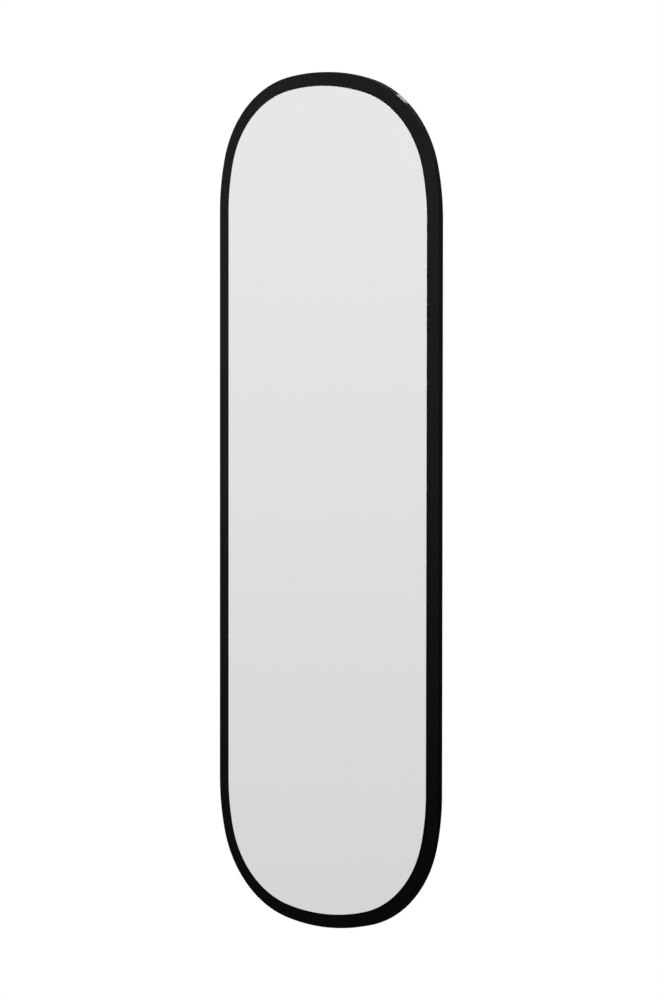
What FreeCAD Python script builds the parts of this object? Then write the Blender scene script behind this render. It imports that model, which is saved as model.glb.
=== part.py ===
import FreeCAD, Part
import enum
import math
import os

import Sketcher

# A full length wall mirror: silvered glass bonded to the face of a black board with long rounded ends.
# X runs to the viewer's right, Y towards the wall and Z up. The origin lies midway between the two keyhole
# entries it hangs by, on the back of the board, so the board's back is y = 0 and the glass looks along -Y.

DRIVING_SIZES = (
    ("panel_height", "1500", "board, from crown to crown"),
    ("panel_width", "500", "board, from side to side"),
    ("panel_thickness", "12", "board"),
    ("panel_edge_radius", "1", "easing of the board's front edge"),
    ("panel_back_bevel", "0.6", "broken edge of the board's wall side"),
    ("crown_radius", "400", "flat arcs at the middle and at the two sides of each end"),
    ("crown_turn", "13.5", "degrees that a flat arc turns before the shoulder takes over"),
    ("glass_margin", "24", "board that shows all round the glass"),
    ("glass_thickness", "3", "silvered float glass"),
    ("glass_arris", "0.4", "ground bevel along the glass edges"),
    ("film_thickness", "0.2", "safety film on the silvered side"),
    ("film_setback", "2", "film edge inside the glass edge"),
    ("tape_thickness", "0.8", "foam tape between film and board"),
    ("tape_width", "19", "foam tape"),
    ("tape_side_gap", "50", "outer tapes inside the sides of the glass"),
    ("tape_end_gap", "25", "corners of the outer tapes inside the ends of the glass"),
    ("bead_width", "12", "flattened bead of adhesive"),
    ("bead_end_gap", "40", "bead end short of the tape ends"),
    ("hanger_spacing", "300", "between the two keyhole entries"),
    ("hanger_drop", "250", "keyhole entries below the top of the board"),
    ("plate_length", "60", "keyhole plate"),
    ("plate_width", "20", "keyhole plate"),
    ("plate_thickness", "2", "keyhole plate, let in flush"),
    ("plate_bevel", "0.3", "broken edge of the plate's wall side"),
    ("plate_clearance", "0.2", "recess around the plate"),
    ("entry_diameter", "10", "round part of the keyhole, passes the head of a wall screw"),
    ("slot_width", "5", "narrow part of the keyhole, passes its shank"),
    ("slot_rise", "12", "end of the narrow part above the round part"),
    ("head_room_width", "12", "hollow in the board behind the keyhole"),
    ("head_room_depth", "8", "the same hollow, from the back of the board"),
    ("screw_inset", "7", "plate screws inside the ends of the plate"),
    ("screw_diameter", "3.5", "plate screw shank"),
    ("screw_head_diameter", "7", "plate screw head"),
    ("screw_head_angle", "90", "degrees across the countersunk head"),
    ("screw_length", "10", "plate screw, head to tip"),
    ("screw_tip_length", "2.5", "its tapered point"),
    ("recess_span", "3.5", "cross recess in the screw head, end to end"),
    ("recess_width", "1", "one arm of the cross recess"),
    ("recess_depth", "1.2", "cross recess"),
    ("screw_clearance", "0.1", "around the screw in the plate and in the board"),
    ("pad_diameter", "20", "wall pad"),
    ("pad_thickness", "2", "wall pad"),
    ("pad_bevel", "0.5", "broken edge of the pad's wall side"),
    ("pad_side_inset", "60", "pad centre inside the board's sides"),
    ("pad_end_inset", "150", "pad centre inside the board's ends"),
)

DERIVED_SIZES = (
    ("half_straight", "=(panel_height - panel_width) / 2", "board centre to the start of an end"),
    ("shoulder_radius",
     "=crown_radius - (crown_radius - panel_width / 2) / (cos(crown_turn) - sin(crown_turn))",
     "arc that joins two flat arcs smoothly"),
    ("flat_side_x", "=panel_width / 2 - crown_radius", "centre of the right flat side arcs"),
    ("shoulder_x", "=flat_side_x + (crown_radius - shoulder_radius) * cos(crown_turn)", "shoulder centre"),
    ("shoulder_rise", "=(crown_radius - shoulder_radius) * sin(crown_turn)", "shoulder centre"),
    ("panel_inset", "=0", "the board is the outline itself"),
    ("film_inset", "=glass_margin + film_setback", "film inside the outline"),
    ("bond_face", "=panel_thickness + tape_thickness", "film behind the glass, in front of the wall side"),
    ("glass_back", "=bond_face + film_thickness", "back of the glass, in front of the wall side"),
    ("tape_reach", "=panel_width / 2 - glass_margin - tape_side_gap", "outer edge of the outer tapes"),
    ("tape_half_length",
     "=half_straight + shoulder_rise - tape_end_gap"
     " + sqrt((shoulder_radius - glass_margin) ^ 2 - (tape_reach - shoulder_x) ^ 2)",
     "so that the outer corners stay that far inside the glass"),
    ("hanger_rise", "=panel_height / 2 - hanger_drop", "keyhole entries above the board's centre"),
    ("plate_rise", "=(slot_rise + slot_width / 2 - entry_diameter / 2) / 2", "plate centre over the entry"),
    ("screw_offset", "=plate_length / 2 - screw_inset", "plate screws from the plate centre"),
    ("screw_hole_diameter", "=screw_diameter + 2 * screw_clearance", "in the plate and in the board"),
    ("sink_diameter", "=screw_head_diameter + 2 * screw_clearance", "countersink in the plate"),
    ("screw_head_depth",
     "=(screw_head_diameter - screw_diameter) / 2 / tan(screw_head_angle / 2)",
     "length of the head's cone"),
    ("screw_hole_depth", "=screw_length + screw_clearance", "from the back of the board"),
)

TAPE_COUNT = 4
SAME_PLANE = 1e-6


class Spot(enum.IntEnum):
    """Which point of a curve a constraint holds."""
    START = 1
    END = 2
    CENTRE = 3


class Fixed(enum.IntEnum):
    """What every sketch has before anything is drawn. The origin is the sideways axis's start."""
    SIDEWAYS_AXIS = -1
    UPRIGHT_AXIS = -2


ORIGIN = (Fixed.SIDEWAYS_AXIS, Spot.START)

doc = FreeCAD.newDocument("FullLengthMirror")


def write_sizes():
    """Put every size, its alias and its meaning in one sheet, driving sizes first."""
    sheet = doc.addObject("Spreadsheet::Sheet", "Sizes")
    for row, (alias, content, meaning) in enumerate(DRIVING_SIZES + DERIVED_SIZES, start=1):
        sheet.set(f"A{row}", alias)
        sheet.set(f"B{row}", content)
        sheet.set(f"C{row}", meaning)
        sheet.setAlias(f"B{row}", alias)
    doc.recompute()
    return sheet


sizes = write_sizes()


def size(expression):
    """The number that an expression on the sheet gives now."""
    return float(sizes.evalExpression(expression))


def new_body(label):
    body = doc.addObject("PartDesign::Body", label)
    body.Label = label
    return body


def place(piece, x="0", y="0", z="0"):
    """Bind a piece's place to the sheet."""
    for axis, expression in (("x", x), ("y", y), ("z", z)):
        piece.setExpression(f"Placement.Base.{axis}", expression)


def new_sketch(body, name, role="XZ_Plane"):
    """An empty sketch on one of the body's own origin planes. On XZ_Plane it looks along -Y."""
    sketch = body.newObject("Sketcher::SketchObject", name)
    plane = next(item for item in body.Origin.OriginFeatures if item.Role == role)
    sketch.AttachmentSupport = [(plane, "")]
    sketch.MapMode = "FlatFace"
    return sketch


def tie(sketch, kind, *where):
    """Add a constraint that has no measure."""
    sketch.addConstraint(Sketcher.Constraint(kind, *where))


def constrain(sketch, name, expression, kind, *where):
    """Add a measured constraint that follows an expression on the sheet."""
    index = sketch.addConstraint(Sketcher.Constraint(kind, *where, size(expression)))
    sketch.renameConstraint(index, name)
    sketch.setExpression(f"Constraints.{name}", expression)


def arc(centre_x, centre_y, radius, start_degrees, end_degrees):
    circle = Part.Circle(FreeCAD.Vector(centre_x, centre_y, 0), FreeCAD.Vector(0, 0, 1), radius)
    return Part.ArcOfCircle(circle, math.radians(start_degrees), math.radians(end_degrees))


def line(start_x, start_y, end_x, end_y):
    return Part.LineSegment(FreeCAD.Vector(start_x, start_y, 0), FreeCAD.Vector(end_x, end_y, 0))


def join_smoothly(sketch, chain):
    """Make each curve of a closed chain run on from the one before it without a corner."""
    for this, following in zip(chain, chain[1:] + chain[:1]):
        tie(sketch, "Tangent", this, Spot.END, following, Spot.START)


def long_outline(body, name, inset):
    """The mirror's outline, `inset` inside the edge of the board: two straight sides, and ends of five
    tangent arcs each. Insets keep the arc centres, so the outlines stay parallel all the way round."""
    sketch = new_sketch(body, name)
    half_width = size(f"Sizes.panel_width / 2 - Sizes.{inset}")
    straight = size("Sizes.half_straight")
    flat = size(f"Sizes.crown_radius - Sizes.{inset}")
    shoulder = size(f"Sizes.shoulder_radius - Sizes.{inset}")
    turn = size("Sizes.crown_turn")
    side_x = size("Sizes.flat_side_x")
    shoulder_x = size("Sizes.shoulder_x")
    shoulder_y = straight + size("Sizes.shoulder_rise")
    crown_y = straight + side_x
    chain, sides, flats, shoulders, crowns = [], [], [], [], []
    for way, first in ((1, 0), (-1, 180)):
        middle = first + 90
        last = first + 180
        for kind, curve in (
            (sides, line(way * half_width, -way * straight, way * half_width, way * straight)),
            (flats, arc(way * side_x, way * straight, flat, first, first + turn)),
            (shoulders, arc(way * shoulder_x, way * shoulder_y, shoulder, first + turn, middle - turn)),
            (crowns, arc(0, way * crown_y, flat, middle - turn, middle + turn)),
            (shoulders, arc(-way * shoulder_x, way * shoulder_y, shoulder, middle + turn, last - turn)),
            (flats, arc(-way * side_x, way * straight, flat, last - turn, last)),
        ):
            kind.append(len(chain))
            chain.append(curve)
    sketch.addGeometry(chain, False)
    right_side, left_side = sides
    top_crown, bottom_crown = crowns
    join_smoothly(sketch, list(range(len(chain))))
    for other in [bottom_crown] + flats:
        tie(sketch, "Equal", top_crown, other)
    for other in shoulders[1:]:
        tie(sketch, "Equal", shoulders[0], other)
    for side in sides:
        tie(sketch, "Symmetric", side, Spot.START, side, Spot.END, Fixed.SIDEWAYS_AXIS)
    tie(sketch, "Symmetric", right_side, Spot.START, left_side, Spot.END, Fixed.UPRIGHT_AXIS)
    tie(sketch, "Symmetric", top_crown, Spot.CENTRE, bottom_crown, Spot.CENTRE, Fixed.SIDEWAYS_AXIS)
    tie(sketch, "PointOnObject", top_crown, Spot.CENTRE, Fixed.UPRIGHT_AXIS)
    constrain(sketch, "half_width", f"Sizes.panel_width / 2 - Sizes.{inset}",
              "DistanceX", *ORIGIN, right_side, Spot.END)
    constrain(sketch, "half_straight", "Sizes.half_straight", "DistanceY", *ORIGIN, right_side, Spot.END)
    constrain(sketch, "crown_centre", "Sizes.half_straight + Sizes.flat_side_x",
              "DistanceY", *ORIGIN, top_crown, Spot.CENTRE)
    constrain(sketch, "flat_radius", f"Sizes.crown_radius - Sizes.{inset}", "Radius", top_crown)
    constrain(sketch, "shoulder_radius", f"Sizes.shoulder_radius - Sizes.{inset}",
              "Radius", shoulders[0])
    return sketch


def upright_slot(body, name, across, low, high, radius):
    """A slot with round ends: its two end centres lie at heights low and high, across from the origin."""
    sketch = new_sketch(body, name)
    x, bottom, top, half = size(across), size(low), size(high), size(radius)
    lower_end, right_side, upper_end, left_side = range(4)
    sketch.addGeometry([
        arc(x, bottom, half, 180, 360),
        line(x + half, bottom, x + half, top),
        arc(x, top, half, 0, 180),
        line(x - half, top, x - half, bottom),
    ], False)
    join_smoothly(sketch, [lower_end, right_side, upper_end, left_side])
    for side in (right_side, left_side):
        tie(sketch, "Vertical", side)
    constrain(sketch, "across", across, "DistanceX", *ORIGIN, lower_end, Spot.CENTRE)
    constrain(sketch, "low", low, "DistanceY", *ORIGIN, lower_end, Spot.CENTRE)
    constrain(sketch, "high", high, "DistanceY", *ORIGIN, upper_end, Spot.CENTRE)
    constrain(sketch, "radius", radius, "Radius", lower_end)
    return sketch


def keyhole(body, name):
    """A round entry about the origin, with a narrower slot rising from it."""
    sketch = new_sketch(body, name)
    entry = size("Sizes.entry_diameter / 2")
    half = size("Sizes.slot_width / 2")
    rise = size("Sizes.slot_rise")
    mouth = math.degrees(math.asin(half / entry))
    mouth_y = entry * math.cos(math.radians(mouth))
    round_entry, right_side, slot_end, left_side = range(4)
    sketch.addGeometry([
        arc(0, 0, entry, 90 + mouth, 450 - mouth),
        line(half, mouth_y, half, rise),
        arc(0, rise, half, 0, 180),
        line(-half, rise, -half, mouth_y),
    ], False)
    for this, following in ((left_side, round_entry), (round_entry, right_side)):
        tie(sketch, "Coincident", this, Spot.END, following, Spot.START)
    for this, following in ((right_side, slot_end), (slot_end, left_side)):
        tie(sketch, "Tangent", this, Spot.END, following, Spot.START)
    for side in (right_side, left_side):
        tie(sketch, "Vertical", side)
    tie(sketch, "Coincident", round_entry, Spot.CENTRE, *ORIGIN)
    tie(sketch, "PointOnObject", slot_end, Spot.CENTRE, Fixed.UPRIGHT_AXIS)
    constrain(sketch, "entry_diameter", "Sizes.entry_diameter", "Diameter", round_entry)
    constrain(sketch, "slot_radius", "Sizes.slot_width / 2", "Radius", slot_end)
    constrain(sketch, "slot_rise", "Sizes.slot_rise", "DistanceY", *ORIGIN, slot_end, Spot.CENTRE)
    return sketch


def upright_bar(body, name, width, height):
    """A rectangle about the origin."""
    sketch = new_sketch(body, name)
    half_width, half_height = size(width) / 2, size(height) / 2
    corners = [(-half_width, -half_height), (half_width, -half_height),
               (half_width, half_height), (-half_width, half_height)]
    bottom, right_side, top, left_side = range(len(corners))
    sketch.addGeometry([line(*a, *b) for a, b in zip(corners, corners[1:] + corners[:1])], False)
    for this, following in ((bottom, right_side), (right_side, top), (top, left_side), (left_side, bottom)):
        tie(sketch, "Coincident", this, Spot.END, following, Spot.START)
    for level in (bottom, top):
        tie(sketch, "Horizontal", level)
    for side in (right_side, left_side):
        tie(sketch, "Vertical", side)
    tie(sketch, "Symmetric", bottom, Spot.START, top, Spot.START, *ORIGIN)
    constrain(sketch, "width", width, "DistanceX", bottom, Spot.START, bottom, Spot.END)
    constrain(sketch, "height", height, "DistanceY", right_side, Spot.START, right_side, Spot.END)
    return sketch


def circles(body, name, diameter, places):
    """Equal circles whose centres lie at (across, up) expressions from the origin."""
    sketch = new_sketch(body, name)
    for index, (across, up) in enumerate(places):
        centre = FreeCAD.Vector(size(across), size(up), 0)
        sketch.addGeometry(Part.Circle(centre, FreeCAD.Vector(0, 0, 1), size(diameter) / 2), False)
        constrain(sketch, f"diameter_{index}", diameter, "Diameter", index)
        if size(across):
            constrain(sketch, f"across_{index}", across, "DistanceX", *ORIGIN, index, Spot.CENTRE)
        else:
            tie(sketch, "PointOnObject", index, Spot.CENTRE, Fixed.UPRIGHT_AXIS)
        if size(up):
            constrain(sketch, f"up_{index}", up, "DistanceY", *ORIGIN, index, Spot.CENTRE)
        else:
            tie(sketch, "PointOnObject", index, Spot.CENTRE, Fixed.SIDEWAYS_AXIS)
    return sketch


def pad(body, name, sketch, length, towards_wall=False):
    feature = body.newObject("PartDesign::Pad", name)
    feature.Profile = sketch
    feature.setExpression("Length", length)
    feature.Reversed = towards_wall
    doc.recompute()
    return feature


def cut_from_back(body, name, sketch, depth):
    """Sink a sketch on the wall side into the solid in front of it, and make sure that it cuts."""
    before = body.Shape.Volume
    feature = body.newObject("PartDesign::Pocket", name)
    feature.Profile = sketch
    feature.setExpression("Length", depth)
    feature.Reversed = True
    doc.recompute()
    if not body.Shape.Volume < before:
        raise RuntimeError(f"{body.Label}: {name} cuts nothing")
    return feature


def flat_edges(feature, y=None):
    """Names of the feature's edges that lie flat across Y: all of them, or those at one y."""
    names = []
    for index, edge in enumerate(feature.Shape.Edges, start=1):
        box = edge.BoundBox
        if box.YLength < SAME_PLANE and (y is None or abs(box.YMin - y) < SAME_PLANE):
            names.append(f"Edge{index}")
    return names


def round_edges(body, name, feature, names, radius):
    rounding = body.newObject("PartDesign::Fillet", name)
    rounding.Base = (feature, names)
    rounding.setExpression("Radius", radius)
    doc.recompute()
    return rounding


def bevel_edges(body, name, feature, names, width):
    bevel = body.newObject("PartDesign::Chamfer", name)
    bevel.Base = (feature, names)
    bevel.setExpression("Size", width)
    doc.recompute()


def back_panel():
    """The board: long outline, eased front edge, broken back edge, and on the wall side a seat for each
    keyhole plate, with a deeper hollow for the wall screw's head and pilot holes for the plate screws."""
    body = new_body("back_panel")
    place(body, z="-Sizes.hanger_rise")
    board = pad(body, "board", long_outline(body, "board_outline", "panel_inset"), "Sizes.panel_thickness")
    front = flat_edges(board, y=-size("Sizes.panel_thickness"))
    eased = round_edges(body, "eased_front", board, front, "Sizes.panel_edge_radius")
    bevel_edges(body, "broken_back", eased, flat_edges(eased, y=0), "Sizes.panel_back_bevel")
    across = "Sizes.hanger_spacing / 2"
    centre = "Sizes.hanger_rise + Sizes.plate_rise"
    seat_radius = "Sizes.plate_width / 2 + Sizes.plate_clearance"
    reach = "(Sizes.plate_length - Sizes.plate_width) / 2"
    seat = upright_slot(body, "seat_outline", across, f"{centre} - {reach}", f"{centre} + {reach}",
                        seat_radius)
    hollow = upright_slot(body, "hollow_outline", across, "Sizes.hanger_rise",
                          "Sizes.hanger_rise + Sizes.slot_rise", "Sizes.head_room_width / 2")
    pilots = circles(body, "pilot_circles", "Sizes.screw_hole_diameter",
                     [(across, f"{centre} {end_sign} Sizes.screw_offset") for end_sign in "-+"])
    right_cuts = [
        cut_from_back(body, "plate_seat", seat, "Sizes.plate_thickness"),
        cut_from_back(body, "head_room", hollow, "Sizes.head_room_depth"),
        cut_from_back(body, "pilot_holes", pilots, "Sizes.screw_hole_depth"),
    ]
    one_side = body.Shape.Volume
    mirrored = body.newObject("PartDesign::Mirrored", "left_hanger_cuts")
    mirrored.Originals = right_cuts
    middle = next(item for item in body.Origin.OriginFeatures if item.Role == "YZ_Plane")
    mirrored.MirrorPlane = (middle, [""])
    body.Tip = mirrored
    doc.recompute()
    if not body.Shape.Volume < one_side:
        raise RuntimeError("back_panel: the left hanger cuts are missing")
    return body


def mirror_glass():
    """The silvered sheet, with its ground bevels."""
    body = new_body("mirror_glass")
    place(body, y="-Sizes.glass_back", z="-Sizes.hanger_rise")
    sheet = pad(body, "sheet", long_outline(body, "glass_outline", "glass_margin"), "Sizes.glass_thickness")
    bevel_edges(body, "ground_edges", sheet, flat_edges(sheet), "Sizes.glass_arris")
    return body


def safety_film():
    """The film stuck to the silvered side, a little short of the glass edge."""
    body = new_body("safety_film")
    place(body, y="-Sizes.bond_face", z="-Sizes.hanger_rise")
    pad(body, "film", long_outline(body, "film_outline", "film_inset"), "Sizes.film_thickness")
    return body


def tape_centre(index):
    """Tapes share the width evenly, from the outer edge of the first to that of the last."""
    outermost = "(Sizes.tape_reach - Sizes.tape_width / 2)"
    return f"{outermost} * {2 * index - (TAPE_COUNT - 1)} / {TAPE_COUNT - 1}"


def mounting_tapes():
    """Square cut strips of foam tape, upright and all of one length."""
    tapes = []
    for index in range(TAPE_COUNT):
        label = f"mounting_tape_{index + 1}"
        tape = doc.addObject("Part::Box", label)
        tape.Label = label
        tape.setExpression("Length", "Sizes.tape_width")
        tape.setExpression("Width", "Sizes.tape_thickness")
        tape.setExpression("Height", "2 * Sizes.tape_half_length")
        place(tape, f"{tape_centre(index)} - Sizes.tape_width / 2", "-Sizes.bond_face",
              "-Sizes.hanger_rise - Sizes.tape_half_length")
        tapes.append(tape)
    return tapes


def adhesive_beads():
    """Beads of adhesive between the tapes, pressed flat to the same thickness."""
    beads = []
    for index in range(TAPE_COUNT - 1):
        body = new_body(f"adhesive_bead_{index + 1}")
        place(body, f"({tape_centre(index)} + {tape_centre(index + 1)}) / 2", "-Sizes.panel_thickness",
              "-Sizes.hanger_rise")
        reach = "(Sizes.tape_half_length - Sizes.bead_end_gap - Sizes.bead_width / 2)"
        outline = upright_slot(body, "bead_outline", "0", f"-{reach}", reach, "Sizes.bead_width / 2")
        pad(body, "bead", outline, "Sizes.tape_thickness")
        beads.append(body)
    return beads


def hanger_plate(side, side_sign):
    """A stamped keyhole plate with two countersunk holes, set about the centre of its round entry."""
    body = new_body(f"hanger_plate_{side}")
    place(body, f"{side_sign} Sizes.hanger_spacing / 2")
    reach = "(Sizes.plate_length - Sizes.plate_width) / 2"
    outline = upright_slot(body, "plate_outline", "0", f"Sizes.plate_rise - {reach}",
                           f"Sizes.plate_rise + {reach}", "Sizes.plate_width / 2")
    blank = pad(body, "plate", outline, "Sizes.plate_thickness")
    bevel_edges(body, "broken_edge", blank, flat_edges(blank, y=0), "Sizes.plate_bevel")
    cut_from_back(body, "keyhole", keyhole(body, "keyhole_outline"), "Sizes.plate_thickness")
    before = body.Shape.Volume
    centres = circles(body, "screw_centres", "Sizes.screw_hole_diameter",
                      [("0", f"Sizes.plate_rise {end_sign} Sizes.screw_offset") for end_sign in "-+"])
    holes = body.newObject("PartDesign::Hole", "screw_holes")
    holes.Profile = centres
    doc.recompute()
    holes.Reversed = True
    holes.DepthType = "ThroughAll"
    holes.ThreadType = "None"
    holes.HoleCutType = "Countersink"
    holes.HoleCutCustomValues = True
    holes.setExpression("Diameter", "Sizes.screw_hole_diameter")
    holes.setExpression("HoleCutDiameter", "Sizes.sink_diameter")
    holes.setExpression("HoleCutCountersinkAngle", "Sizes.screw_head_angle")
    doc.recompute()
    if not body.Shape.Volume < before:
        raise RuntimeError(f"{body.Label}: the screw holes are missing")
    return body


def hanger_screw(label, across, up):
    """One countersunk wood screw with a cross recess, its head flush with the wall side of the plate."""
    body = new_body(label)
    place(body, across, z=up)
    sketch = new_sketch(body, f"{label}_profile", "XY_Plane")
    head = size("Sizes.screw_head_diameter / 2")
    shank = size("Sizes.screw_diameter / 2")
    neck_y = -size("Sizes.screw_head_depth")
    taper_y = size("Sizes.screw_tip_length - Sizes.screw_length")
    tip_y = -size("Sizes.screw_length")
    corners = [(0, 0), (0, tip_y), (shank, taper_y), (shank, neck_y), (head, 0)]
    axis, tip, side, _, face = range(len(corners))
    chain = [line(*a, *b) for a, b in zip(corners, corners[1:] + corners[:1])]
    sketch.addGeometry(chain, False)
    for this in range(len(chain)):
        following = (this + 1) % len(chain)
        tie(sketch, "Coincident", this, Spot.END, following, Spot.START)
    tie(sketch, "Coincident", axis, Spot.START, *ORIGIN)
    tie(sketch, "Vertical", axis)
    tie(sketch, "Vertical", side)
    tie(sketch, "Horizontal", face)
    constrain(sketch, "head_radius", "Sizes.screw_head_diameter / 2",
              "DistanceX", *ORIGIN, face, Spot.START)
    constrain(sketch, "shank_radius", "Sizes.screw_diameter / 2", "DistanceX", *ORIGIN, side, Spot.START)
    constrain(sketch, "head_depth", "Sizes.screw_head_depth", "DistanceY", side, Spot.END, *ORIGIN)
    constrain(sketch, "shank_end", "Sizes.screw_length - Sizes.screw_tip_length",
              "DistanceY", tip, Spot.END, *ORIGIN)
    constrain(sketch, "length", "Sizes.screw_length", "DistanceY", axis, Spot.END, *ORIGIN)
    turned = body.newObject("PartDesign::Revolution", "turned")
    turned.Profile = sketch
    turned.ReferenceAxis = (sketch, ["V_Axis"])
    turned.Angle = 360
    doc.recompute()
    arm = cut_from_back(body, "recess_arm",
                        upright_bar(body, f"{label}_recess", "Sizes.recess_width", "Sizes.recess_span"),
                        "Sizes.recess_depth")
    one_arm = body.Shape.Volume
    cross = body.newObject("PartDesign::PolarPattern", "cross_recess")
    cross.Originals = [arm]
    screw_axis = next(item for item in body.Origin.OriginFeatures if item.Role == "Y_Axis")
    cross.Axis = (screw_axis, [""])
    cross.Angle = 90
    cross.Occurrences = 2
    body.Tip = cross
    doc.recompute()
    if not body.Shape.Volume < one_arm:
        raise RuntimeError(f"{label}: the cross recess is missing")
    return body


def hanger_screws():
    """The four plate screws, one piece each, kept together as one set."""
    screws = []
    for side, side_sign in (("left", "-"), ("right", "+")):
        for end, end_sign in (("lower", "-"), ("upper", "+")):
            across = f"{side_sign} Sizes.hanger_spacing / 2"
            up = f"Sizes.plate_rise {end_sign} Sizes.screw_offset"
            screws.append(hanger_screw(f"screw_{side}_{end}", across, up))
    group = doc.addObject("Part::Compound", "hanger_screws")
    group.Label = "hanger_screws"
    group.Links = screws
    return group


def wall_pads():
    """Round pads near the four corners of the back, bevelled on the side that meets the wall."""
    pads = []
    across = "(Sizes.panel_width / 2 - Sizes.pad_side_inset)"
    up = "(Sizes.panel_height / 2 - Sizes.pad_end_inset)"
    for index, (side, end) in enumerate((("-", "+"), ("+", "+"), ("-", "-"), ("+", "-")), start=1):
        body = new_body(f"wall_pad_{index}")
        place(body, f"{side} {across}", z=f"-Sizes.hanger_rise {end} {up}")
        disc = circles(body, "disc_outline", "Sizes.pad_diameter", [("0", "0")])
        blank = pad(body, "disc", disc, "Sizes.pad_thickness", towards_wall=True)
        wall_side = flat_edges(blank, y=size("Sizes.pad_thickness"))
        bevel_edges(body, "broken_edge", blank, wall_side, "Sizes.pad_bevel")
        pads.append(body)
    return pads


def build():
    pieces = [back_panel(), mirror_glass(), safety_film()]
    pieces += mounting_tapes()
    pieces += adhesive_beads()
    pieces += [hanger_plate("left", "-"), hanger_plate("right", "+")]
    pieces.append(hanger_screws())
    pieces += wall_pads()
    doc.recompute()
    return pieces


def check(pieces):
    """Stop before anything is written if any step of the model failed."""
    failed = [item.Name for item in doc.Objects if {"Invalid", "Error"} & set(item.State)]
    if failed:
        raise RuntimeError(f"failed: {', '.join(failed)}")
    for piece in pieces:
        if piece.Shape.isNull() or not piece.Shape.isValid() or not piece.Shape.Solids:
            raise RuntimeError(f"{piece.Label} has no sound solid")


def write(pieces):
    os.makedirs("parts", exist_ok=True)
    for piece in pieces:
        piece.Shape.exportStep(os.path.join("parts", f"{piece.Label}.step"))
        box = piece.Shape.optimalBoundingBox()
        print(f"{piece.Label}: {len(piece.Shape.Solids)} solid, {piece.Shape.Volume / 1000:.2f} cm3, "
              f"x {box.XMin:.2f} to {box.XMax:.2f}, y {box.YMin:.2f} to {box.YMax:.2f}, "
              f"z {box.ZMin:.2f} to {box.ZMax:.2f}")


mirror_pieces = build()
check(mirror_pieces)
write(mirror_pieces)
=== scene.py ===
# %% [markdown]
# # A full length mirror
# The object is a tall sheet of silvered glass, bonded to a slightly larger black board with long
# rounded ends, and hung on a wall by two keyhole plates in the back of the board. Its solids arrive
# packed as a fixed frame. The mirror could be modelled again by eye, but then the look and the
# engineered part would drift apart, so the frame is loaded first and everything below is made in
# its coordinates: metres, X to the viewer's right, Y towards the wall, Z up, and the origin between
# the keyholes, on the wall side of the board. Sizes and tones that are chosen here have names in
# capitals, and what is read from the frame or worked out has a name in small letters. The numbers
# of a finish or a lamp stand beside the name of what they set.

# %% Load the frame
import math

import bmesh
import bpy
from mathutils import Matrix, Vector
from mathutils.noise import noise as wandering


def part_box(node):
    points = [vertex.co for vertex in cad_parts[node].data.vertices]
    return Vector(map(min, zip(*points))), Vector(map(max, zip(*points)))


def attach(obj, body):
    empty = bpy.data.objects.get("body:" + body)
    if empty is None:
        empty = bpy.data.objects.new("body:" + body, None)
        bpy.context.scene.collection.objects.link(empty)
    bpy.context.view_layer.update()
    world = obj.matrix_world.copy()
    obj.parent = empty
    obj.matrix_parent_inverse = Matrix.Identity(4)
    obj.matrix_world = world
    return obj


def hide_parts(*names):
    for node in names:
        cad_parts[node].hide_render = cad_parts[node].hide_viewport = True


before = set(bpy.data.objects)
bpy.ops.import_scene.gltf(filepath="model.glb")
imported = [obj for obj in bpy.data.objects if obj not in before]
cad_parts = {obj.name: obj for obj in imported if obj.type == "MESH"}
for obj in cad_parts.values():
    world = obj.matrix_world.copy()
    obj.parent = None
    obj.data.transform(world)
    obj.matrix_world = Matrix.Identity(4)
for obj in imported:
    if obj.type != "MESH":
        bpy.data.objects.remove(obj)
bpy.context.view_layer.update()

# %% [markdown]
# ## Shaders written as sums
# Each finish is a small network of nodes. Nodes can be placed and wired one call at a time, but a
# sum is easier to read when it looks like a sum. The first class wraps one output of a node, so
# that arithmetic on it adds Math nodes. The second wraps a whole network and adds every other kind
# of node through a single method.

# %% A socket that does arithmetic
class Socket:
    """One output of a node. Arithmetic on it adds Math nodes and gives the socket of the answer."""

    def __init__(self, shading, output):
        self.shading = shading
        self.output = output

    def arithmetic(self, operation, first, second):
        """Add one Math node."""
        return self.shading.node("ShaderNodeMath", {"operation": operation}, {0: first, 1: second})

    def __add__(self, other):
        return self.arithmetic("ADD", self, other)

    def __radd__(self, other):
        return self.arithmetic("ADD", other, self)

    def __sub__(self, other):
        return self.arithmetic("SUBTRACT", self, other)

    def __rsub__(self, other):
        return self.arithmetic("SUBTRACT", other, self)

    def __mul__(self, other):
        return self.arithmetic("MULTIPLY", self, other)

    def __rmul__(self, other):
        return self.arithmetic("MULTIPLY", other, self)

    def __pow__(self, other):
        return self.arithmetic("POWER", self, other)

    def __rpow__(self, other):
        return self.arithmetic("POWER", other, self)


class Shading:
    """The node network of a material or of the world, started empty."""

    def __init__(self, owner):
        owner.use_nodes = True
        self.network = owner.node_tree
        self.network.nodes.clear()

    def node(self, kind, settings=None, sockets=None, output=0):
        """Add a node: its settings first, then values or links on its sockets. Gives one output.

        Sockets and outputs go by name, or by number where several share a name.
        """
        made = self.network.nodes.new(kind)
        for name, value in (settings or {}).items():
            setattr(made, name, value)
        for name, value in (sockets or {}).items():
            if isinstance(value, Socket):
                self.network.links.new(value.output, made.inputs[name])
            else:
                made.inputs[name].default_value = value
        return Socket(self, made.outputs[output]) if made.outputs else None


print("Shader classes are ready")

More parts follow.
